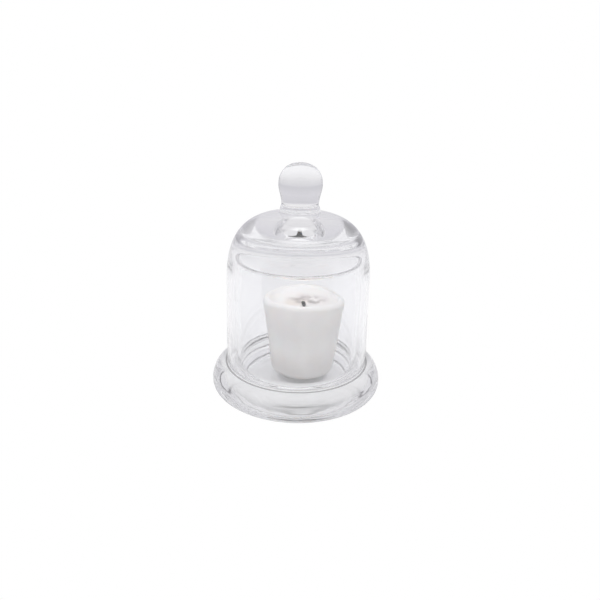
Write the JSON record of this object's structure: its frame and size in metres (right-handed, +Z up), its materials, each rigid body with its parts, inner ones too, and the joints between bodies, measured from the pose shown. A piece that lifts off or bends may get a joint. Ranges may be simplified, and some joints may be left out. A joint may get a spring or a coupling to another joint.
{
  "type": "glass bell jar candle holder",
  "caption": "Small clear-glass bell jar: lift-off domed cover with a solid knob over a straight cup on a heavy rolled-edge foot, holding a votive candle.",
  "frame": {"origin": "centre of the plane of the standing ring under the foot", "axes": "+Z up along the common axis of the foot, cup, dome and knob; +X and +Y are equivalent for the glass, whose every piece is a body of revolution. The loose candle stands 3.6 mm off that axis towards +X and 0.6 mm towards -Y, and its melted rim is higher on the -Y side"},
  "size_m": [0.1, 0.1, 0.1293],
  "materials": {
    "foot_glass": "polished",
    "cup_glass": "polished",
    "dome_glass": "polished",
    "knob_glass": "polished",
    "wax": "matte",
    "wick": "charred",
    "tab_steel": "satin"
  },
  "bodies": {
    "base": {"base_plate": "foot_glass", "candle_cup": "cup_glass"},
    "dome": {"dome_shell": "dome_glass", "dome_knob": "knob_glass"},
    "candle": {"candle_wax": "wax", "wick": "wick", "wick_sustainer": "tab_steel"}
  },
  "joints": [
    {"name": "dome_lift", "type": "slide", "parent": "base", "child": "dome", "axis": [0, 0, 1], "range_m": [0, 0.08]},
    {"name": "candle_lift", "type": "slide", "parent": "base", "child": "candle", "axis": [0, 0, 1], "range_m": [0, 0.03]}
  ]
}
